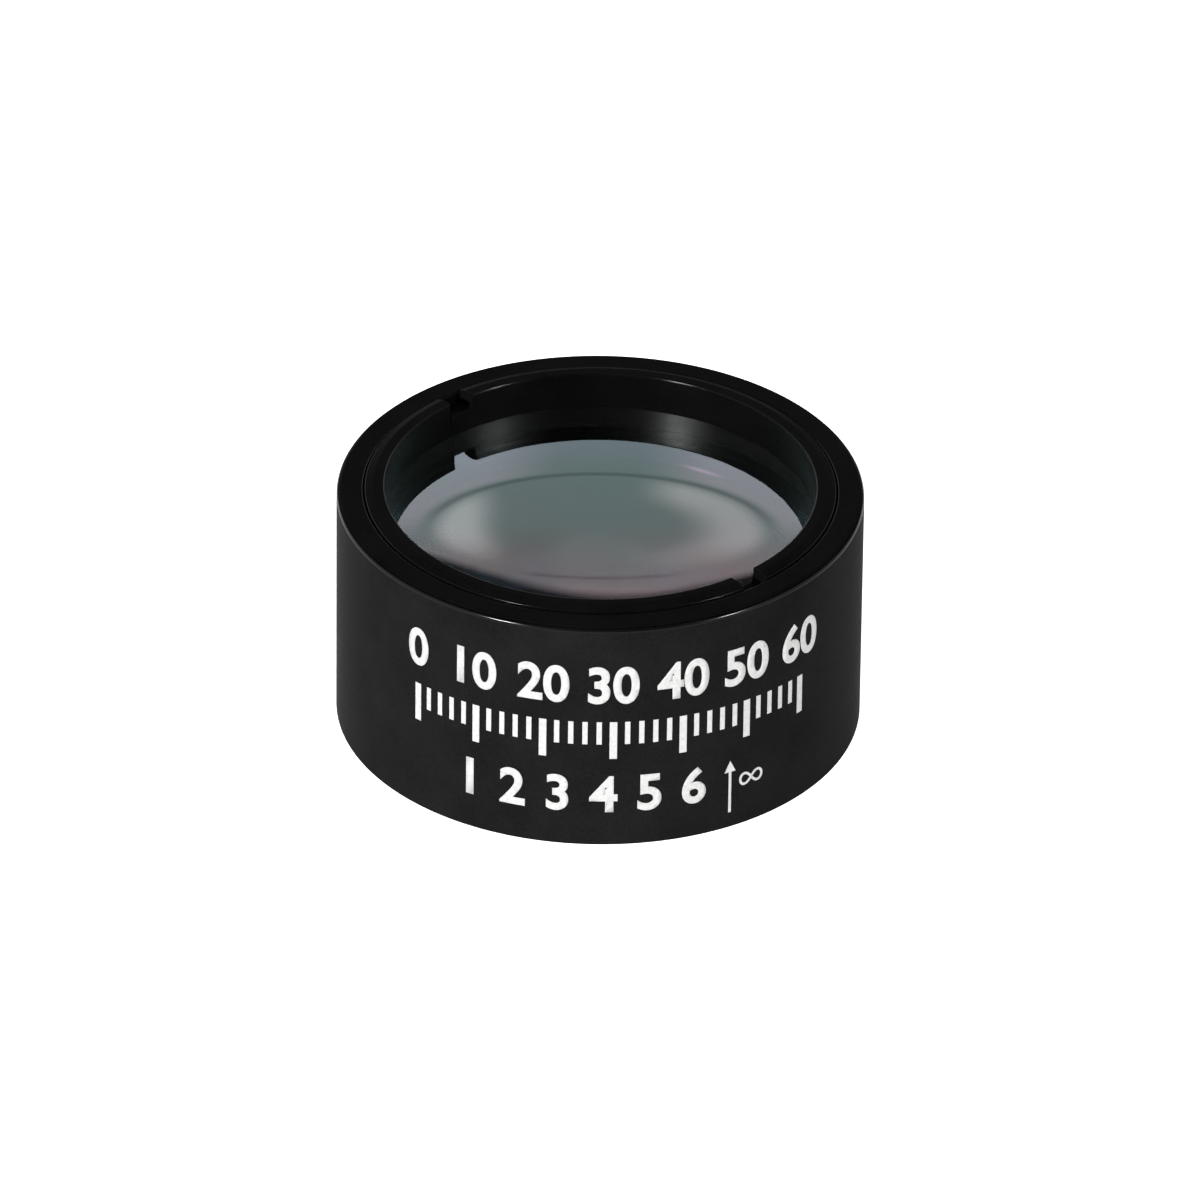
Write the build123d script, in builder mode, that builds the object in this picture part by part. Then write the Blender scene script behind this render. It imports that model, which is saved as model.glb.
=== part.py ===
from build123d import *

import os
from math import sqrt

# Air-spaced achromatic doublet in a round aluminium cell. Millimetres. +Z is the
# optical axis and points to the infinity side, where the retaining ring is. The
# origin is the centre of the cell's bottom face.

# Cell, sized for mounts that take a 25.4 mm optic
cell_radius = 12.70
cell_height = 12.22
cell_wall = 1.36
cell_top_bevel = 0.19
cell_bottom_bevel = 0.08
mouth_step = 0.29
mouth_relief = 0.25
thread_lead_in = 0.12
shoulder_width = 0.85
aperture_bevel = 0.45

# Lens elements: clearance in the bore, edge bevels, and the stack down the axis
bore_clearance = 0.05
lens_bevel = 0.15
front_recess = 1.08
front_thickness = 5.60
air_gap = 0.50
rear_thickness = 2.40

# Radii of the four polished spheres
front_top_curve = 92.0
front_back_curve = 64.0
rear_top_curve = 62.0
rear_back_curve = 174.0

# Spacer between the elements
spacer_width = 0.70

# Retaining ring, screwed down on the front element
ring_width = 0.96
ring_slope_width = 0.42
ring_proud = 0.23
ring_edge_proud = 0.06
ring_inner_bevel = 0.08
ring_foot_width = 0.30
slot_width = 1.42
slot_depth = 0.80
slot_azimuth = 131.0

# Radii, from the barrel inwards
thread_radius = cell_radius - cell_wall
bore_radius = thread_radius - mouth_step
aperture_radius = bore_radius - shoulder_width
lens_radius = bore_radius - bore_clearance
polished_radius = lens_radius - lens_bevel
spacer_inner_radius = lens_radius - spacer_width
ring_inner_radius = thread_radius - ring_width

# Heights of the four polished vertices, from the mouth down
front_top_z = cell_height - front_recess
front_back_z = front_top_z - front_thickness
rear_top_z = front_back_z - air_gap
rear_back_z = rear_top_z - rear_thickness


def sag(curve, radius):
    """Height between a sphere's vertex and its circle of the given radius."""
    return curve - sqrt(curve**2 - radius**2)


def slope(curve, radius):
    """Steepness of a sphere at the given distance from its axis."""
    return radius / sqrt(curve**2 - radius**2)


def top_rims(piece):
    """The circles in a turned piece's top face, the smallest first."""
    return piece.edges().group_by(Axis.Z)[-1].sort_by(SortBy.RADIUS)


def bottom_rims(piece):
    """The circles in a turned piece's bottom face, the smallest first."""
    return piece.edges().group_by(Axis.Z)[0].sort_by(SortBy.RADIUS)


# Each element starts as a round blank that is longer than the finished glass and is
# ground to its spheres. The poles of every sphere lie across the optical axis, so that
# neither a pole nor a seam falls on the polished face.
cap_up = (0, 90, 0)
cap_down = (0, -90, 0)
grinding_allowance = 2 * sag(rear_top_curve, lens_radius)

# The front element is biconvex. Its flatter side faces infinity.
with BuildPart() as front_lens:
    with Locations((0, 0, (front_top_z + front_back_z) / 2)):
        Cylinder(lens_radius, front_thickness + grinding_allowance)
    with Locations((0, 0, front_top_z - front_top_curve)):
        Sphere(front_top_curve, rotation=cap_up, mode=Mode.INTERSECT)
    with Locations((0, 0, front_back_z + front_back_curve)):
        Sphere(front_back_curve, rotation=cap_down, mode=Mode.INTERSECT)
    chamfer(front_lens.edges().filter_by(GeomType.CIRCLE), lens_bevel)

# The rear element is a negative meniscus. Its hollow side faces the front element.
with BuildPart() as rear_lens:
    with Locations((0, 0, (rear_top_z + rear_back_z) / 2)):
        Cylinder(lens_radius, rear_thickness + 2 * grinding_allowance)
    with Locations((0, 0, rear_top_z + rear_top_curve)):
        Sphere(rear_top_curve, rotation=cap_down, mode=Mode.SUBTRACT)
    with Locations((0, 0, rear_back_z + rear_back_curve)):
        Sphere(rear_back_curve, rotation=cap_down, mode=Mode.INTERSECT)
    chamfer(rear_lens.edges().filter_by(GeomType.CIRCLE), lens_bevel)

# The cell is turned from one piece: threaded mouth, smooth bore for the elements, and
# a shoulder whose conical seat touches the rear element all the way round.
seat_radius = (aperture_radius + bore_radius) / 2
seat_z = rear_back_z + sag(rear_back_curve, seat_radius)
seat_rise = slope(rear_back_curve, seat_radius) * shoulder_width / 2
front_rim_z = front_top_z - sag(front_top_curve, lens_radius) - lens_bevel
mouth_floor_z = front_rim_z - mouth_relief

with BuildPart() as housing:
    with BuildSketch(Plane.XZ):
        with BuildLine():
            Polyline(
                (aperture_radius, 0),
                (cell_radius, 0),
                (cell_radius, cell_height),
                (thread_radius, cell_height),
                (thread_radius, mouth_floor_z),
                (bore_radius, mouth_floor_z),
                (bore_radius, seat_z + seat_rise),
                (aperture_radius, seat_z - seat_rise),
                close=True,
            )
        make_face()
    revolve(axis=Axis.Z)
    chamfer(top_rims(housing)[-1], cell_top_bevel)
    chamfer(top_rims(housing)[0], thread_lead_in)
    chamfer(bottom_rims(housing)[-1], cell_bottom_bevel)
    chamfer(bottom_rims(housing)[0], aperture_bevel)

# The spacer's top touches the front element on a cone. Its underside bears on the
# hollow of the rear element and runs out flat over that element's edge bevel.
spacer_contact_radius = (spacer_inner_radius + polished_radius) / 2
spacer_top_z = front_back_z + sag(front_back_curve, spacer_contact_radius)
spacer_rise = slope(front_back_curve, spacer_contact_radius) * (
    polished_radius - spacer_contact_radius
)
spacer_inner_foot_z = rear_top_z + sag(rear_top_curve, spacer_inner_radius)
spacer_outer_foot_z = rear_top_z + sag(rear_top_curve, polished_radius)

with BuildPart() as spacer_ring:
    with BuildSketch(Plane.XZ):
        with BuildLine():
            Polyline(
                (spacer_inner_radius, spacer_inner_foot_z),
                (polished_radius, spacer_outer_foot_z),
                (lens_radius, spacer_outer_foot_z),
                (lens_radius, spacer_top_z + spacer_rise),
                (polished_radius, spacer_top_z + spacer_rise),
                (spacer_inner_radius, spacer_top_z - spacer_rise),
                close=True,
            )
        make_face()
    revolve(axis=Axis.Z)

# The retaining ring stands a little proud of the cell. Its foot is a narrow cone that
# is tangent to the front element. Two opposed spanner slots run right across it.
ring_top_z = cell_height + ring_proud
foot_contact_radius = ring_inner_radius + ring_foot_width / 2
foot_z = front_top_z - sag(front_top_curve, foot_contact_radius)
foot_drop = slope(front_top_curve, foot_contact_radius) * ring_foot_width / 2

with BuildPart() as retaining_ring:
    with BuildSketch(Plane.XZ):
        with BuildLine():
            Polyline(
                (ring_inner_radius, foot_z + foot_drop),
                (ring_inner_radius + ring_foot_width, foot_z - foot_drop),
                (thread_radius, foot_z - foot_drop),
                (thread_radius, cell_height + ring_edge_proud),
                (thread_radius - ring_slope_width, ring_top_z),
                (ring_inner_radius, ring_top_z),
                close=True,
            )
        make_face()
    revolve(axis=Axis.Z)
    chamfer(top_rims(retaining_ring)[0], ring_inner_bevel)
    with BuildSketch(Plane.XY.offset(ring_top_z)):
        Rectangle(2 * cell_radius, slot_width, rotation=slot_azimuth)
    extrude(amount=-slot_depth, mode=Mode.SUBTRACT)

front_lens.part.label = "front_lens"
rear_lens.part.label = "rear_lens"
housing.part.label = "housing"
spacer_ring.part.label = "spacer_ring"
retaining_ring.part.label = "retaining_ring"

os.makedirs("parts", exist_ok=True)
export_step(front_lens.part, "parts/front_lens.step")
export_step(rear_lens.part, "parts/rear_lens.step")
export_step(housing.part, "parts/housing.step")
export_step(spacer_ring.part, "parts/spacer_ring.step")
export_step(retaining_ring.part, "parts/retaining_ring.step")
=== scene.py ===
import math

import bmesh
import bpy
from mathutils import Matrix, Vector


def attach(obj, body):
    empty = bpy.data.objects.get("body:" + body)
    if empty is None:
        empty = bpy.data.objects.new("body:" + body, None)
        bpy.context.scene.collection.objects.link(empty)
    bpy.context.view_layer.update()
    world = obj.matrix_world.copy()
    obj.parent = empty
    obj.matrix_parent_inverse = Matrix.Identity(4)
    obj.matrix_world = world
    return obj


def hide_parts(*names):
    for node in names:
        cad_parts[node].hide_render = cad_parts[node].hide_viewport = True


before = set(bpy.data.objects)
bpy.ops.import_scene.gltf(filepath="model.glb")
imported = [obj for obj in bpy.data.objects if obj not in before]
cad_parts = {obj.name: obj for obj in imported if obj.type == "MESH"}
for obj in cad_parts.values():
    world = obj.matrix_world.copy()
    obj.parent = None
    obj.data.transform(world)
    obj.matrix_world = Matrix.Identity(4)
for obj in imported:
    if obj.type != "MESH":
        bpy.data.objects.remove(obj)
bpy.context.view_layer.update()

# A short black cell holds two glass elements under a slotted retaining ring. The part
# stands on its flat bottom, with the infinity side up. The scene is in metres, and the
# sizes below are in millimetres, as the solids have them.
MM = 0.001

CELL_RADIUS = 12.70
CELL_HEIGHT = 12.22
THREAD_RADIUS = 11.34
BORE_RADIUS = 11.05
APERTURE_RADIUS = 10.20
CELL_TOP_BEVEL = 0.19
CELL_BOTTOM_BEVEL = 0.08
THREAD_LEAD_IN = 0.12
MOUTH_RELIEF = 0.25
APERTURE_BEVEL = 0.45

LENS_RADIUS = 11.00
LENS_BEVEL = 0.15
POLISHED_RADIUS = LENS_RADIUS - LENS_BEVEL
FRONT_TOP_Z, FRONT_TOP_CURVE = 11.14, 92.0
FRONT_BACK_Z, FRONT_BACK_CURVE = 5.54, -64.0
REAR_TOP_Z, REAR_TOP_CURVE = 5.04, -62.0
REAR_BACK_Z, REAR_BACK_CURVE = 2.64, -174.0

RING_INNER_RADIUS = 10.38
RING_SLOPE_WIDTH = 0.42
RING_TOP_Z = CELL_HEIGHT + 0.23
RING_EDGE_Z = CELL_HEIGHT + 0.06
RING_INNER_BEVEL = 0.08
RING_FOOT_WIDTH = 0.30
SLOT_WIDTH = 1.42
SLOT_FLOOR_Z = RING_TOP_Z - 0.80
SLOT_AZIMUTH = math.radians(131.0)
SLOT_EDGE = 0.035

# The camera that took the photograph, in a frame of 1200 by 1200 pixels
PHOTO_PIXELS = 1200
SENSOR_WIDTH = 36.0
FOCAL_PIXELS = 15126.9
CAMERA_DISTANCE = 730.7 * MM
CAMERA_ELEVATION = 0.5553
CAMERA_ROLL = -0.0117
AIM_POINT = Vector((0.0, 0.0, 6.0 * MM))
AIM_PIXEL = (599.19, 598.82)


def add_camera():
    """A long lens, a little above the part, that looks along +Y."""
    back = Vector((0.0, -math.cos(CAMERA_ELEVATION), math.sin(CAMERA_ELEVATION)))
    side = Vector((1.0, 0.0, 0.0))
    above = back.cross(side)
    c, s = math.cos(CAMERA_ROLL), math.sin(CAMERA_ROLL)
    right = side * c - above * s
    up = side * s + above * c
    data = bpy.data.cameras.new("camera")
    data.sensor_width = SENSOR_WIDTH
    data.lens = FOCAL_PIXELS / PHOTO_PIXELS * SENSOR_WIDTH
    data.shift_x = 0.5 - AIM_PIXEL[0] / PHOTO_PIXELS
    data.shift_y = AIM_PIXEL[1] / PHOTO_PIXELS - 0.5
    data.clip_start, data.clip_end = 0.01, 20.0
    camera = bpy.data.objects.new("camera", data)
    place = Matrix((right, up, back)).transposed().to_4x4()
    place.translation = AIM_POINT + back * CAMERA_DISTANCE
    camera.matrix_world = place
    bpy.context.scene.collection.objects.link(camera)
    bpy.context.scene.camera = camera


# ---------------------------------------------------------------- node trees


class Nodes:
    """Short calls for a material's or a world's node tree."""

    def __init__(self, tree):
        self.tree = tree
        tree.nodes.clear()

    def add(self, kind, **settings):
        node = self.tree.nodes.new(kind)
        for name, value in settings.items():
            setattr(node, name, value)
        return node

    def link(self, source, target):
        self.tree.links.new(source, target)

    def feed(self, value, socket):
        if isinstance(value, (int, float)):
            socket.default_value = value
        else:
            self.link(value, socket)

    def math(self, operation, first, second=0.0, third=0.0):
        node = self.add("ShaderNodeMath", operation=operation)
        for socket, value in zip(node.inputs, (first, second, third)):
            self.feed(value, socket)
        return node.outputs[0]

    def noise(self, place, scale, detail=2.0, rough=0.5):
        node = self.add("ShaderNodeTexNoise")
        node.inputs["Scale"].default_value = scale
        node.inputs["Detail"].default_value = detail
        node.inputs["Roughness"].default_value = rough
        self.link(place, node.inputs["Vector"])
        return node.outputs["Fac"]

    def span(self, value, low, high, to_low, to_high):
        node = self.add("ShaderNodeMapRange")
        self.link(value, node.inputs["Value"])
        limits = ("From Min", "From Max", "To Min", "To Max")
        for name, number in zip(limits, (low, high, to_low, to_high)):
            node.inputs[name].default_value = number
        return node.outputs["Result"]

    def soft(self, value, low, high):
        """0 at low and 1 at high, with a soft start and end."""
        node = self.add("ShaderNodeMapRange", interpolation_type="SMOOTHSTEP")
        self.link(value, node.inputs["Value"])
        falling = low > high
        limits = (high, low, 1.0, 0.0) if falling else (low, high, 0.0, 1.0)
        for name, number in zip(("From Min", "From Max", "To Min", "To Max"), limits):
            node.inputs[name].default_value = number
        return node.outputs["Result"]

    def band(self, value, centre, half):
        """1 at the centre, and 0 from half a band away."""
        off = self.math("ABSOLUTE", self.math("SUBTRACT", value, centre))
        return self.soft(off, half, 0.0)

    def product(self, first, *others):
        for other in others:
            first = self.math("MULTIPLY", first, other)
        return first

    def scaled(self, vector, factor):
        node = self.add("ShaderNodeVectorMath", operation="SCALE")
        self.link(vector, node.inputs[0])
        self.feed(factor, node.inputs["Scale"])
        return node.outputs[0]

    def tint(self, factor, colour):
        node = self.add("ShaderNodeVectorMath", operation="SCALE")
        node.inputs[0].default_value = colour
        self.feed(factor, node.inputs["Scale"])
        return node.outputs[0]

    def total(self, first, *others):
        for other in others:
            node = self.add("ShaderNodeVectorMath", operation="ADD")
            self.link(first, node.inputs[0])
            self.link(other, node.inputs[1])
            first = node.outputs[0]
        return first

    def ramp(self, value, stops):
        node = self.add("ShaderNodeValToRGB")
        self.link(value, node.inputs["Fac"])
        marks = node.color_ramp.elements
        while len(marks) < len(stops):
            marks.new(0.5)
        for mark, (place, colour) in zip(marks, stops):
            mark.position = place
            mark.color = (*colour, 1.0)
        return node.outputs["Color"]

    def split(self, vector):
        node = self.add("ShaderNodeSeparateXYZ")
        self.link(vector, node.inputs[0])
        return node.outputs

    def join(self, x, y, z):
        node = self.add("ShaderNodeCombineXYZ")
        for socket, value in zip(node.inputs, (x, y, z)):
            self.feed(value, socket)
        return node.outputs[0]

    def length(self, x, y):
        squares = self.math("ADD", self.math("MULTIPLY", x, x), self.math("MULTIPLY", y, y))
        return self.math("SQRT", squares)

    def around(self, place, along):
        """Object coordinates as seen on a lathe: the way round counts for little."""
        x, y, z = self.split(place)
        turn = self.math("ARCTAN2", y, x)
        return self.join(self.length(x, y), self.math("MULTIPLY", turn, along), z)


def new_material(name):
    material = bpy.data.materials.new(name)
    material.use_nodes = True
    nodes = Nodes(material.node_tree)
    out = nodes.add("ShaderNodeOutputMaterial")
    shader = nodes.add("ShaderNodeBsdfPrincipled")
    nodes.link(shader.outputs["BSDF"], out.inputs["Surface"])
    return material, nodes, shader


# ---------------------------------------------------------------- materials

GRAIN_SCALE = 11000.0
PATCH_SCALE = 320.0
GROOVE_SCALE = 9000.0
GROOVE_DRIFT = 0.00012
BUMP_HEIGHT = 0.00001


def anodised(name, base, gloss, spread, index, grain, groove, tint=(1.0, 1.0, 1.0)):
    """Black anodised aluminium: a dark dyed film over a blasted or a turned surface."""
    material, nodes, shader = new_material(name)
    place = nodes.add("ShaderNodeTexCoord").outputs["Object"]
    speck = nodes.noise(place, GRAIN_SCALE, 3.0, 0.6)
    patch = nodes.noise(place, PATCH_SCALE, 3.0, 0.55)
    lines = nodes.noise(nodes.around(place, GROOVE_DRIFT), GROOVE_SCALE, 3.0, 0.6)
    mottle = nodes.math("MULTIPLY_ADD", speck, 0.6, nodes.math("MULTIPLY", patch, 0.4))
    dark, light = [0.6 * c for c in base], [1.5 * c for c in base]
    nodes.link(nodes.ramp(mottle, ((0.32, dark), (0.68, light))), shader.inputs["Base Color"])
    worn = nodes.math("MULTIPLY_ADD", lines, 0.5, nodes.math("MULTIPLY", patch, 0.5))
    rough = nodes.span(worn, 0.3, 0.7, gloss - spread, gloss + spread)
    nodes.link(rough, shader.inputs["Roughness"])
    shader.inputs["IOR"].default_value = index
    shader.inputs["Specular Tint"].default_value = (*tint, 1.0)
    height = nodes.math("MULTIPLY_ADD", lines, groove, nodes.math("MULTIPLY", speck, grain))
    bump = nodes.add("ShaderNodeBump")
    bump.inputs["Strength"].default_value = 1.0
    bump.inputs["Distance"].default_value = BUMP_HEIGHT
    nodes.link(height, bump.inputs["Height"])
    nodes.link(bump.outputs["Normal"], shader.inputs["Normal"])
    return material


def coated_glass(name, index, film_nm, film_index):
    """Polished glass under a thin interference coating, which is a little thicker in places."""
    material, nodes, shader = new_material(name)
    place = nodes.add("ShaderNodeTexCoord").outputs["Object"]
    drift = nodes.noise(place, 90.0, 1.0, 0.5)
    film = nodes.span(drift, 0.3, 0.7, 0.99 * film_nm, 1.01 * film_nm)
    nodes.link(film, shader.inputs["Thin Film Thickness"])
    shader.inputs["Thin Film IOR"].default_value = film_index
    shader.inputs["Base Color"].default_value = (1.0, 1.0, 1.0, 1.0)
    shader.inputs["Roughness"].default_value = 0.0
    shader.inputs["IOR"].default_value = index
    shader.inputs["Transmission Weight"].default_value = 1.0
    return material


def ground_edge(name):
    """The ground rim and bevels of an element, blackened with a matt lacquer."""
    material, nodes, shader = new_material(name)
    place = nodes.add("ShaderNodeTexCoord").outputs["Object"]
    speck = nodes.noise(place, 14000.0, 2.0, 0.6)
    nodes.link(nodes.ramp(speck, ((0.3, (0.004, 0.004, 0.004)), (0.7, (0.012, 0.012, 0.011)))),
               shader.inputs["Base Color"])
    nodes.link(nodes.span(speck, 0.3, 0.7, 0.6, 0.8), shader.inputs["Roughness"])
    shader.inputs["Specular IOR Level"].default_value = 0.1
    return material


def printed_ink(name):
    """Off-white screen ink with a slightly uneven coat."""
    material, nodes, shader = new_material(name)
    place = nodes.add("ShaderNodeTexCoord").outputs["Object"]
    coat = nodes.noise(place, 6000.0, 4.0, 0.65)
    nodes.link(nodes.ramp(coat, ((0.25, (0.36, 0.36, 0.355)), (0.6, (0.46, 0.46, 0.455)))),
               shader.inputs["Base Color"])
    nodes.link(nodes.span(coat, 0.3, 0.7, 0.55, 0.75), shader.inputs["Roughness"])
    shader.inputs["Specular IOR Level"].default_value = 0.3
    return material


# ---------------------------------------------------------------- turned pieces

SEGMENTS = 288
BLASTED, TURNED, BURNISHED, FACED = 0, 1, 2, 3
SHARP_ANGLE = math.radians(38.0)


def corner(before, at, after, radius, steps=4):
    """Points that round one corner of an outline, with a point of support either side."""
    before, at, after = Vector(before), Vector(at), Vector(after)
    back, on = (before - at).normalized(), (after - at).normalized()
    points = [at + back * 2.0 * radius]
    for k in range(steps + 1):
        t = k / steps
        start, end = at + back * radius, at + on * radius
        points.append(start * (1 - t) ** 2 + at * 2 * t * (1 - t) + end * t**2)
    points.append(at + on * 2.0 * radius)
    return [tuple(p) for p in points]


def rounded(outline):
    """An outline of (radius, height, rounding, finish on it, finish after it) as plain points."""
    points = []
    for k, (x, y, radius, bend_finish, finish) in enumerate(outline):
        before, after = outline[k - 1][:2], outline[(k + 1) % len(outline)][:2]
        if radius:
            bend = corner(before, (x, y), after, radius)
            points.append((*bend[0], outline[k - 1][4]))
            points += [(*p, bend_finish) for p in bend[1:-2]]
            points += [(*p, finish) for p in bend[-2:]]
        else:
            points.append((x, y, finish))
    return points


def spun(name, points, materials, closed):
    """Turns points of (radius, height, finish) about the optical axis into a smooth mesh."""
    vertices, rows = [], []
    for radius, height, _ in points:
        count = SEGMENTS if radius > 0 else 1
        rows.append(range(len(vertices), len(vertices) + count))
        for k in range(count):
            turn = 2 * math.pi * k / SEGMENTS
            vertices.append((radius * math.cos(turn) * MM, radius * math.sin(turn) * MM, height * MM))
    faces, finishes = [], []
    following = rows[1:] + rows[:1] if closed else rows[1:]
    for low, high, (_, _, finish) in zip(rows, following, points):
        for k in range(SEGMENTS):
            nearby = k % len(low), (k + 1) % len(low), (k + 1) % len(high), k % len(high)
            around = low[nearby[0]], low[nearby[1]], high[nearby[2]], high[nearby[3]]
            faces.append(tuple(dict.fromkeys(around)))
            finishes.append(finish)
    mesh = bpy.data.meshes.new(name)
    mesh.from_pydata(vertices, [], faces)
    for material in materials:
        mesh.materials.append(material)
    mesh.polygons.foreach_set("material_index", finishes)
    work = bmesh.new()
    work.from_mesh(mesh)
    bmesh.ops.recalc_face_normals(work, faces=work.faces)
    work.to_mesh(mesh)
    work.free()
    mesh.polygons.foreach_set("use_smooth", [True] * len(mesh.polygons))
    mesh.set_sharp_from_angle(angle=SHARP_ANGLE)
    piece = bpy.data.objects.new(name, mesh)
    bpy.context.scene.collection.objects.link(piece)
    return piece


def settle(piece, node):
    """The piece stands for a node of the frame and rides where it does."""
    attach(piece, "root")
    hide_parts(node)


def sag(curve, radius):
    """How far a sphere's surface stands from its vertex, down for a positive curve."""
    size = abs(curve) - math.sqrt(curve**2 - radius**2)
    return math.copysign(size, curve)


def make_cell(finishes):
    seat_mid = (APERTURE_RADIUS + BORE_RADIUS) / 2
    seat_z = REAR_BACK_Z - sag(REAR_BACK_CURVE, seat_mid)
    seat_slope = seat_mid / math.sqrt(REAR_BACK_CURVE**2 - seat_mid**2)
    seat_rise = seat_slope * (BORE_RADIUS - APERTURE_RADIUS) / 2
    floor_z = FRONT_TOP_Z - sag(FRONT_TOP_CURVE, LENS_RADIUS) - LENS_BEVEL - MOUTH_RELIEF
    outline = [
        (APERTURE_RADIUS, APERTURE_BEVEL, 0.03, TURNED, TURNED),
        (APERTURE_RADIUS + APERTURE_BEVEL, 0, 0.03, TURNED, BLASTED),
        (CELL_RADIUS - CELL_BOTTOM_BEVEL, 0, 0.03, BLASTED, BLASTED),
        (CELL_RADIUS, CELL_BOTTOM_BEVEL, 0.03, BLASTED, BLASTED),
        (CELL_RADIUS, CELL_HEIGHT - CELL_TOP_BEVEL, 0.09, BURNISHED, FACED),
        (CELL_RADIUS - CELL_TOP_BEVEL, CELL_HEIGHT, 0.08, FACED, FACED),
        (THREAD_RADIUS + THREAD_LEAD_IN, CELL_HEIGHT, 0.02, BURNISHED, FACED),
        (THREAD_RADIUS, CELL_HEIGHT - THREAD_LEAD_IN, 0, TURNED, TURNED),
        (THREAD_RADIUS, floor_z, 0, TURNED, TURNED),
        (BORE_RADIUS, floor_z, 0.02, TURNED, TURNED),
        (BORE_RADIUS, seat_z + seat_rise, 0, TURNED, TURNED),
        (APERTURE_RADIUS, seat_z - seat_rise, 0.03, TURNED, TURNED),
    ]
    cell = spun("turned_cell", rounded(outline), finishes, closed=True)
    settle(cell, "housing")
    return cell


def arc(top, curve, rings=28):
    """Points on a polished face, from the optical axis out to its bevel."""
    reach = [POLISHED_RADIUS * k / rings for k in range(rings + 1)]
    return [(r, top - sag(curve, r)) for r in reach]


def make_lens(name, node, top, top_curve, back, back_curve, materials):
    """One element: two polished faces, two ground bevels and a ground edge."""
    upper = arc(top, top_curve)
    lower = arc(back, back_curve)[::-1]
    top_rim, back_rim = upper[-1][1], lower[0][1]
    edge_top = top - sag(top_curve, LENS_RADIUS) - LENS_BEVEL
    edge_back = back - sag(back_curve, LENS_RADIUS) + LENS_BEVEL
    points = [(r, z, 0) for r, z in upper[:-1]] + [(POLISHED_RADIUS, top_rim, 2)]
    points += [(LENS_RADIUS, edge_top, 2), (LENS_RADIUS, edge_back, 2)]
    points += [(r, z, 1) for r, z in lower]
    lens = spun(name, points, materials, closed=False)
    settle(lens, node)
    return lens


def make_ring(finishes):
    ring_mid = RING_INNER_RADIUS + RING_FOOT_WIDTH / 2
    foot_z = FRONT_TOP_Z - sag(FRONT_TOP_CURVE, ring_mid)
    drop = ring_mid / math.sqrt(FRONT_TOP_CURVE**2 - ring_mid**2) * RING_FOOT_WIDTH / 2
    outline = [
        (RING_INNER_RADIUS, foot_z + drop, 0.012, TURNED, TURNED),
        (RING_INNER_RADIUS + RING_FOOT_WIDTH, foot_z - drop, 0, TURNED, TURNED),
        (THREAD_RADIUS, foot_z - drop, 0, TURNED, TURNED),
        (THREAD_RADIUS, RING_EDGE_Z, 0.03, BURNISHED, FACED),
        (THREAD_RADIUS - RING_SLOPE_WIDTH, RING_TOP_Z, 0.06, FACED, FACED),
        (RING_INNER_RADIUS, RING_TOP_Z, 0.07, BURNISHED, TURNED),
    ]
    ring = spun("slotted_ring", rounded(outline), finishes, closed=True)
    cut_slots(ring)
    settle(ring, "retaining_ring")
    return ring


def cut_slots(ring):
    """Two opposed spanner slots, cut straight across with softened edges."""
    across = 2.2 * CELL_RADIUS * MM
    tall = 2.0 * (RING_TOP_Z - SLOT_FLOOR_Z) * MM
    bpy.ops.mesh.primitive_cube_add(size=1.0)
    cutter = bpy.context.object
    cutter.scale = (across, SLOT_WIDTH * MM, tall)
    cutter.rotation_euler = (0.0, 0.0, SLOT_AZIMUTH)
    cutter.location = (0.0, 0.0, SLOT_FLOOR_Z * MM + tall / 2)
    for material in ring.data.materials:
        cutter.data.materials.append(material)
    for face in cutter.data.polygons:
        face.material_index = FACED
    cut = ring.modifiers.new("slots", "BOOLEAN")
    cut.operation, cut.solver, cut.object = "DIFFERENCE", "EXACT", cutter
    bake(ring)
    bpy.data.objects.remove(cutter)
    soften = ring.modifiers.new("edges", "BEVEL")
    soften.width, soften.segments = SLOT_EDGE * MM, 3
    soften.limit_method, soften.angle_limit = "ANGLE", math.radians(50.0)
    soften.material = BURNISHED
    soften.harden_normals = True


def bake(piece):
    """Writes a piece's modifiers into its mesh."""
    seen = piece.evaluated_get(bpy.context.evaluated_depsgraph_get())
    mesh = bpy.data.meshes.new_from_object(seen)
    piece.modifiers.clear()
    piece.data = mesh
    mesh.polygons.foreach_set("use_smooth", [True] * len(mesh.polygons))
    mesh.set_sharp_from_angle(angle=SHARP_ANGLE)


# ---------------------------------------------------------------- print

PRINT_RADIUS = CELL_RADIUS
INK_DEPTH = 0.012
CUT_STEP = 0.25
WEIGHT = 0.027

# Places round the barrel are in degrees, with -90 at the camera; the rest is in millimetres.
TENS, TENS_START, TENS_STEP = 7, -132.5, 15.3
TENS_LOW, TENS_TALL, TENS_SQUEEZE = 7.98, 2.08, 0.93
TICKS_TOP, TICKS_PER_TEN = 6.97, 5
LONG_TICK, SHORT_TICK = (2.06, 0.36), (1.25, 0.25)
DIGITS, DIGITS_START, DIGITS_STEP = 6, -118.6, 10.0
DIGITS_LOW, DIGITS_TALL, DIGITS_SQUEEZE = 1.90, 2.03, 0.97
ARROW_AT, ARROW_LOW, ARROW_HIGH = -60.0, 0.90, 3.80
INFINITY_AT, INFINITY_LEVEL, INFINITY_HALF, INFINITY_LIFT = -54.6, 2.55, 0.62, 1.35


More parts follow.
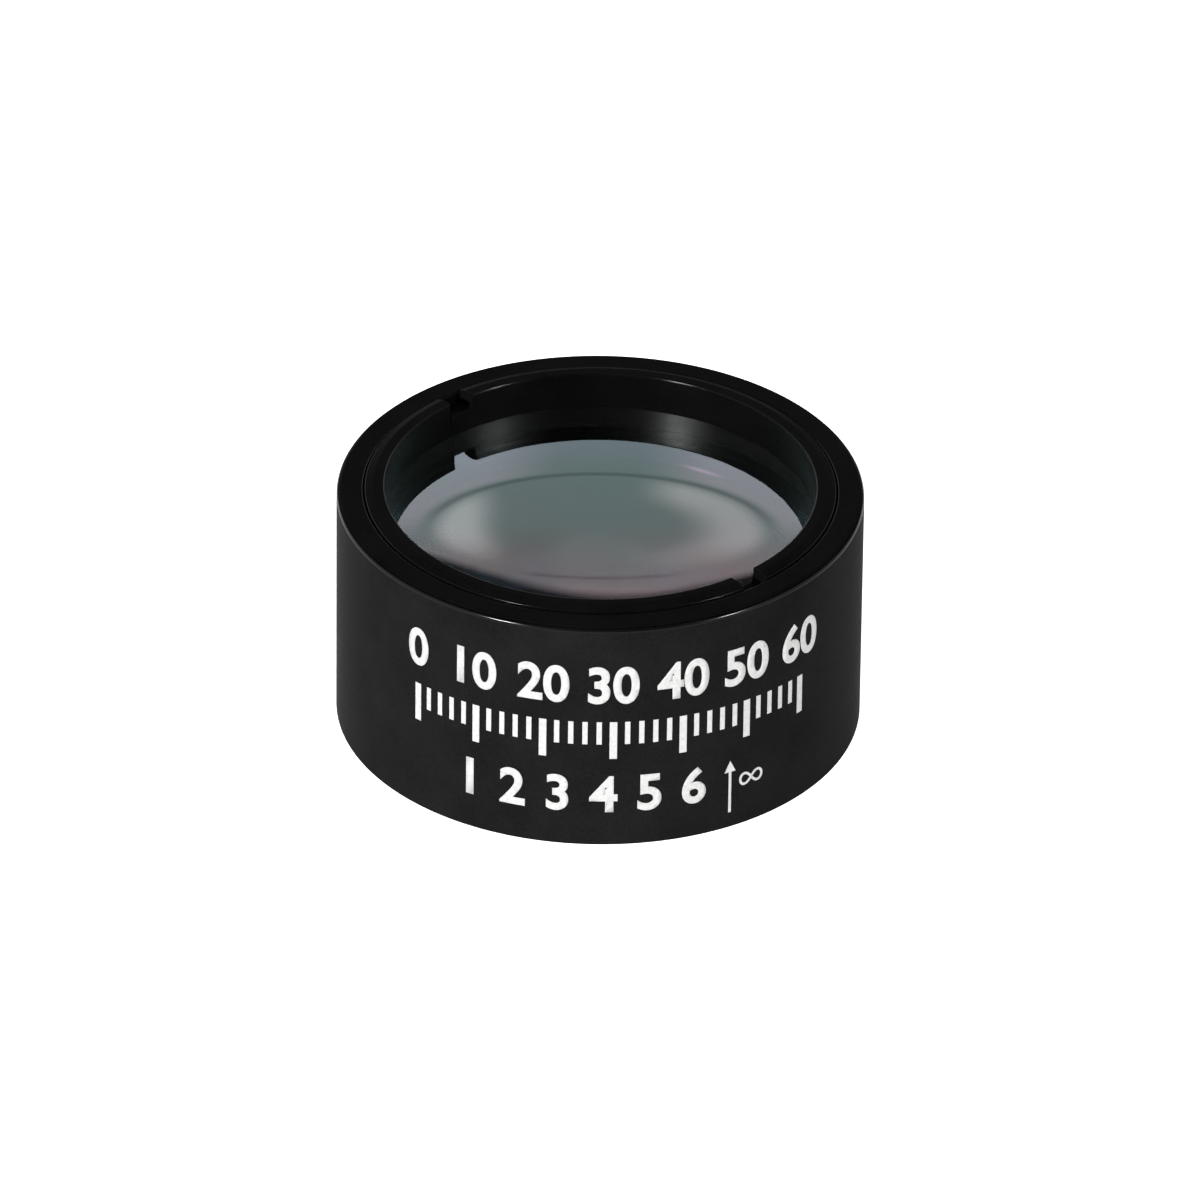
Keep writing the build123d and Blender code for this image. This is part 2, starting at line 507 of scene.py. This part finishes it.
def flat_number(work, body, centre, low, tall, squeeze):
    """Adds a number in Blender's own plain typeface, centred on a point of the row."""
    curve = bpy.data.curves.new("number", "FONT")
    curve.body = body
    curve.size = 1.0
    curve.offset = WEIGHT
    curve.resolution_u = 8
    curve.fill_mode = "FRONT"
    maker = bpy.data.objects.new("number", curve)
    bpy.context.scene.collection.objects.link(maker)
    bpy.context.view_layer.update()
    seen = maker.evaluated_get(bpy.context.evaluated_depsgraph_get())
    mesh = bpy.data.meshes.new_from_object(seen)
    xs = [v.co.x for v in mesh.vertices]
    ys = [v.co.y for v in mesh.vertices]
    scale = tall / (max(ys) - min(ys))
    middle = (max(xs) + min(xs)) / 2
    for v in mesh.vertices:
        v.co = ((v.co.x - middle) * scale * squeeze + centre, (v.co.y - min(ys)) * scale + low, 0.0)
    work.from_mesh(mesh)
    bpy.data.objects.remove(maker)
    bpy.data.curves.remove(curve)
    bpy.data.meshes.remove(mesh)


def flat_shape(work, points):
    work.faces.new([work.verts.new((x, y, 0.0)) for x, y in points])


def flat_bar(work, left, low, wide, tall):
    flat_shape(work, [(left, low), (left + wide, low), (left + wide, low + tall), (left, low + tall)])


def flat_loop(work, path, stroke):
    """A closed line of even width along the points of a path."""
    sides = []
    for k, here in enumerate(path):
        ahead = Vector(path[(k + 1) % len(path)]) - Vector(path[k - 1])
        across = Vector((-ahead.y, ahead.x)).normalized() * stroke / 2
        here = Vector(here)
        sides.append([work.verts.new((*(here + across * s), 0.0)) for s in (1, -1)])
    for k, pair in enumerate(sides):
        after = sides[(k + 1) % len(sides)]
        work.faces.new((pair[0], pair[1], after[1], after[0]))


def arc_length(degrees):
    return math.radians(degrees) * PRINT_RADIUS


def add_scale(work):
    """The two upper rows: numbers by tens, and the ruled scale under them."""
    for k in range(TENS):
        centre = arc_length(TENS_START + TENS_STEP * k)
        flat_number(work, str(10 * k), centre, TENS_LOW, TENS_TALL, TENS_SQUEEZE)
    for k in range((TENS - 1) * TICKS_PER_TEN + 1):
        centre = arc_length(TENS_START + TENS_STEP * k / TICKS_PER_TEN)
        tall, wide = SHORT_TICK if k % TICKS_PER_TEN else LONG_TICK
        flat_bar(work, centre - wide / 2, TICKS_TOP - tall, wide, tall)


def add_digits(work):
    """The lowest row: a plain coarse count."""
    for k in range(DIGITS):
        centre = arc_length(DIGITS_START + DIGITS_STEP * k)
        flat_number(work, str(k + 1), centre, DIGITS_LOW, DIGITS_TALL, DIGITS_SQUEEZE)


def add_arrow(work):
    """An arrow up to the side that faces infinity, with the sign for infinity."""
    x, low, high = arc_length(ARROW_AT), ARROW_LOW, ARROW_HIGH
    half, head, stem = 0.30, 0.62, 0.07
    neck = high - head
    flat_shape(work, [(x - stem, low), (x + stem, low), (x + stem, neck), (x + half, neck),
                      (x, high), (x - half, neck), (x - stem, neck)])
    middle, level = arc_length(INFINITY_AT), INFINITY_LEVEL
    path = []
    for k in range(48):
        t = 2 * math.pi * k / 48
        wide = INFINITY_HALF / (1 + math.sin(t) ** 2)
        rise = INFINITY_LIFT * wide * math.sin(t) * math.cos(t)
        path.append((middle + wide * math.cos(t), level + rise))
    flat_loop(work, path, 0.13)


def make_print(ink):
    """Lays the flat marks round the barrel as a thin raised coat of ink."""
    work = bmesh.new()
    add_scale(work)
    add_digits(work)
    add_arrow(work)
    span = [v.co.x for v in work.verts]
    cut = min(span) + CUT_STEP
    while cut < max(span):
        everything = work.verts[:] + work.edges[:] + work.faces[:]
        bmesh.ops.bisect_plane(work, geom=everything, plane_co=(cut, 0, 0), plane_no=(1, 0, 0))
        cut += CUT_STEP
    raised = bmesh.ops.extrude_face_region(work, geom=work.faces[:], use_keep_orig=True)
    for v in (g for g in raised["geom"] if isinstance(g, bmesh.types.BMVert)):
        v.co.z += INK_DEPTH
    for v in work.verts:
        turn, reach = v.co.x / PRINT_RADIUS, (PRINT_RADIUS + v.co.z) * MM
        v.co = (reach * math.cos(turn), reach * math.sin(turn), v.co.y * MM)
    bmesh.ops.recalc_face_normals(work, faces=work.faces)
    mesh = bpy.data.meshes.new("scale_marks")
    work.to_mesh(mesh)
    work.free()
    mesh.materials.append(ink)
    marks = bpy.data.objects.new("scale_marks", mesh)
    bpy.context.scene.collection.objects.link(marks)
    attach(marks, "root")
    return marks


# ---------------------------------------------------------------- studio

# Radius of the black disc of painted shade under the glass
SHADE_DISC_RADIUS = 10.6
BACK_SKY, SIDE_SKY, FRONT_SKY, CEILING = 0.88, 1.0, 0.25, 0.06
CEILING_Z, CEILING_BEND, CEILING_DROP = 0.658, 3.6, 0.08
RIGHT_DIM = 0.6
PAPER_WHITE = 1.2
# Painted reflections and painted shade for the glass only: the hoop, the shades, the glows, the
# patches and the streak below
HOOP_WIDE, HOOP_TALL, HOOP_LEVEL = 0.129, 0.1515, 0.6675
HOOP_SHADE = (-0.32, -0.30, -0.30)
LEFT_SHADE = (-0.22, -0.16, -0.18)
WARM_REFLECTION = (0.36, -0.05, -0.03)
LOW_GLOW = (0.12, 0.04, 0.16)
SIDE_GLOW = (0.14, 0.07, 0.10)
LOW_SIDE_GLOW = (0.75, 0.40, 0.55)
PATCH_GLOW = (1.14, 0.80, 0.82)
EDGE_GLOW = (0.22, 0.10, 0.12)
STREAK_GLOW = (1.10, 0.45, 0.80)
STREAK_PLACE, STREAK_TURN = (0.065, 0.494), math.radians(44.0)

# Softboxes: place in metres, width, height and radiance
LEFT_BOX = ((-0.65, -0.75, 0.39), 0.16, 0.09, 370.0)
RIGHT_BOX = ((0.82, -0.55, 0.38), 0.14, 0.09, 190.0)


def pale_floor():
    mesh = bpy.data.meshes.new("floor")
    half = 4.0
    corners = [(-half, -half, 0), (half, -half, 0), (half, half, 0), (-half, half, 0)]
    mesh.from_pydata(corners, [], [(0, 1, 2, 3)])
    floor = bpy.data.objects.new("floor", mesh)
    bpy.context.scene.collection.objects.link(floor)
    material, nodes, shader = new_material("floor_paper")
    place = nodes.add("ShaderNodeTexCoord").outputs["Object"]
    tooth = nodes.noise(place, 700.0, 3.0, 0.6)
    nodes.link(nodes.ramp(tooth, ((0.3, (0.90, 0.90, 0.90)), (0.7, (0.93, 0.93, 0.93)))),
               shader.inputs["Base Color"])
    shader.inputs["Roughness"].default_value = 0.8
    shader.inputs["Specular IOR Level"].default_value = 0.05
    shader.inputs["Emission Color"].default_value = (1.0, 1.0, 1.0, 1.0)
    seen = nodes.add("ShaderNodeLightPath").outputs["Is Camera Ray"]
    nodes.link(nodes.math("MULTIPLY_ADD", seen, 0.8, 0.32), shader.inputs["Emission Strength"])
    mesh.materials.append(material)


def shade_disc():
    """A round black disc under the glass: painted shade that stands for the shadow the glass casts on
    the floor, so that the glass shows only reflections.
    """
    bpy.ops.mesh.primitive_circle_add(vertices=96, radius=SHADE_DISC_RADIUS * MM, fill_type="NGON",
                                      location=(0, 0, 0.02 * MM))
    shade_sheet = bpy.context.object
    shade_sheet.name = "shade_disc"
    material, nodes, shader = new_material("painted_shade_black")
    place = nodes.add("ShaderNodeTexCoord").outputs["Object"]
    shade_speck = nodes.noise(place, 5000.0, 2.0, 0.6)
    nodes.link(nodes.ramp(shade_speck, ((0.3, (0.002, 0.002, 0.002)), (0.7, (0.005, 0.005, 0.005)))),
               shader.inputs["Base Color"])
    shader.inputs["Roughness"].default_value = 1.0
    shader.inputs["Specular IOR Level"].default_value = 0.0
    shade_sheet.data.materials.append(material)


def area_light(name, place, width, height, radiance):
    """A softbox that faces the part and is never seen itself."""
    data = bpy.data.lights.new(name, "AREA")
    data.shape = "RECTANGLE"
    data.size, data.size_y = width, height
    data.energy = radiance * math.pi * width * height
    light = bpy.data.objects.new(name, data)
    light.location = Vector(place)
    light.rotation_euler = (AIM_POINT - light.location).to_track_quat("-Z", "Y").to_euler()
    light.visible_camera = False
    bpy.context.scene.collection.objects.link(light)


def painted_reflections(nodes, x, y, z):
    """Painted reflections and painted shade, seen only in the glass: warm higher up, brighter at the
    sides, in two curved patches and in a short streak, with a thin darker hoop of painted shadow."""
    ahead = nodes.math("MAXIMUM", y, 0.05)
    across, level = nodes.math("DIVIDE", x, ahead), nodes.math("DIVIDE", z, ahead)
    away = nodes.math("ABSOLUTE", across)
    reach = nodes.length(nodes.math("DIVIDE", across, HOOP_WIDE),
                         nodes.math("DIVIDE", nodes.math("SUBTRACT", level, HOOP_LEVEL), HOOP_TALL))
    left = nodes.math("MULTIPLY", nodes.soft(across, -0.065, -0.10), 1.35)
    sides = nodes.math("ADD", left, nodes.soft(across, 0.02, 0.06))
    patch = nodes.product(nodes.soft(reach, 1.04, 0.86), nodes.soft(reach, 0.45, 0.80),
                          sides, nodes.soft(level, 0.80, 0.66))
    near = nodes.soft(away, 0.30, 0.18)
    low_sides = nodes.product(nodes.soft(away, 0.02, 0.08), nodes.soft(reach, 1.0, 1.1),
                              nodes.soft(level, 0.68, 0.58))
    left_shade = nodes.product(nodes.soft(across, -0.01, -0.06), nodes.soft(away, 0.13, 0.08),
                               nodes.soft(level, 0.64, 0.74))
    ends = nodes.math("MULTIPLY", nodes.soft(away, 0.045, 0.085), nodes.soft(level, 0.62, 0.72))
    hoop = nodes.product(nodes.band(reach, 1.0, 0.055), nodes.soft(away, 0.135, 0.105),
                         nodes.math("SUBTRACT", 1.0, ends))
    marks = nodes.total(nodes.tint(nodes.soft(level, 0.63, 0.80), WARM_REFLECTION),
                        nodes.tint(nodes.soft(level, 0.52, 0.44), LOW_GLOW),
                        nodes.tint(nodes.soft(away, 0.04, 0.12), SIDE_GLOW),
                        nodes.tint(low_sides, LOW_SIDE_GLOW),
                        nodes.tint(left_shade, LEFT_SHADE),
                        nodes.tint(patch, PATCH_GLOW),
                        nodes.tint(reflected_streak(nodes, across, level), STREAK_GLOW),
                        nodes.tint(nodes.soft(level, 0.825, 0.855), EDGE_GLOW),
                        nodes.tint(hoop, HOOP_SHADE))
    return nodes.scaled(marks, nodes.math("MULTIPLY", near, nodes.soft(y, 0.3, 0.5)))


def reflected_streak(nodes, across, level):
    """A short slanted streak of painted reflection."""
    right = nodes.math("SUBTRACT", across, STREAK_PLACE[0])
    up = nodes.math("SUBTRACT", level, STREAK_PLACE[1])
    c, s = math.cos(STREAK_TURN), math.sin(STREAK_TURN)
    along = nodes.math("ADD", nodes.math("MULTIPLY", right, c), nodes.math("MULTIPLY", up, s))
    aside = nodes.math("SUBTRACT", nodes.math("MULTIPLY", up, c), nodes.math("MULTIPLY", right, s))
    return nodes.product(nodes.band(along, 0.0, 0.026), nodes.band(aside, 0.0, 0.006))


def add_studio():
    """White paper behind and beside the part, a dark room in front and above, two softboxes, and
    painted reflections and painted shade that only the glass shows.
    """
    world = bpy.data.worlds.new("studio")
    bpy.context.scene.world = world
    world.use_nodes = True
    nodes = Nodes(world.node_tree)
    x, y, z = nodes.split(nodes.add("ShaderNodeTexCoord").outputs["Generated"])
    depth = nodes.span(y, -0.35, 0.35, 0.0, 1.0)
    side = nodes.math("SMOOTH_MIN", nodes.math("ABSOLUTE", x), 0.9, 0.1)
    front = nodes.span(side, 0.5, 0.9, FRONT_SKY, SIDE_SKY)
    lit = nodes.math("MULTIPLY_ADD", depth, nodes.math("SUBTRACT", BACK_SKY, front), front)
    dim = nodes.product(nodes.soft(x, -0.03, 0.10), nodes.soft(z, 0.24, 0.12))
    lit = nodes.math("MULTIPLY_ADD", dim, -RIGHT_DIM, lit)
    path = nodes.add("ShaderNodeLightPath").outputs
    # Only mirror rays see these painted reflections and painted shade, so they show only in the glass
    marks = nodes.scaled(painted_reflections(nodes, x, y, z), path["Is Singular Ray"])
    paper = nodes.total(nodes.join(lit, lit, lit), marks)
    across = nodes.math("DIVIDE", x, nodes.math("MAXIMUM", y, 0.05))
    aside = nodes.math("SUBTRACT", across, 0.01)
    bend = nodes.product(aside, aside, CEILING_BEND)
    lifted = nodes.math("ADD", z, nodes.math("MINIMUM", bend, CEILING_DROP))
    open_sky = nodes.span(lifted, CEILING_Z - 0.007, CEILING_Z + 0.007, 1.0, CEILING)
    seen = path["Is Camera Ray"]
    unseen = nodes.math("SUBTRACT", 1.0, seen)
    reflected = nodes.scaled(paper, nodes.product(open_sky, unseen))
    colour = nodes.total(reflected, nodes.tint(seen, (PAPER_WHITE,) * 3))
    sky = nodes.add("ShaderNodeBackground")
    nodes.link(colour, sky.inputs["Color"])
    out = nodes.add("ShaderNodeOutputWorld")
    nodes.link(sky.outputs[0], out.inputs["Surface"])
    area_light("left_softbox", *LEFT_BOX)
    area_light("right_softbox", *RIGHT_BOX)


def dress(node, material):
    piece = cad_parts[node]
    for index in range(len(piece.material_slots)):
        piece.material_slots[index].material = material
    if not piece.material_slots:
        piece.data.materials.append(material)


add_camera()
pale_floor()
shade_disc()
add_studio()

cell_blasted = anodised("cell_blasted", (0.0070, 0.0070, 0.0072), 0.45, 0.05, 1.05, 0.30, 0.02)
top_faced = anodised("top_faced", (0.0032, 0.0032, 0.0032), 0.28, 0.05, 1.04, 0.14, 0.05)
wall_turned = anodised("wall_turned", (0.0014, 0.0014, 0.0014), 0.31, 0.06, 1.27, 0.14, 0.06,
                       tint=(1.0, 0.74, 0.76))
edge_burnished = anodised("edge_burnished", (0.0020, 0.0020, 0.0021), 0.15, 0.03, 1.27, 0.02, 0.02)
ink_white = printed_ink("ink_white")
lacquer = ground_edge("edge_lacquer")
face_coat = coated_glass("face_coat", 1.507, 735.0, 1.90)
inner_coat = coated_glass("inner_coat", 1.20, 300.0, 1.10)
rear_coat = coated_glass("rear_coat", 1.18, 300.0, 1.10)

metal = [cell_blasted, wall_turned, edge_burnished, top_faced]
make_cell(metal)
make_ring(metal)
make_lens("polished_front", "front_lens", FRONT_TOP_Z, FRONT_TOP_CURVE,
          FRONT_BACK_Z, FRONT_BACK_CURVE, [face_coat, inner_coat, lacquer])
make_lens("polished_rear", "rear_lens", REAR_TOP_Z, REAR_TOP_CURVE,
          REAR_BACK_Z, REAR_BACK_CURVE, [rear_coat, rear_coat, lacquer])
dress("spacer_ring", wall_turned)
make_print(ink_white)

bpy.context.scene.view_settings.view_transform = "Standard"
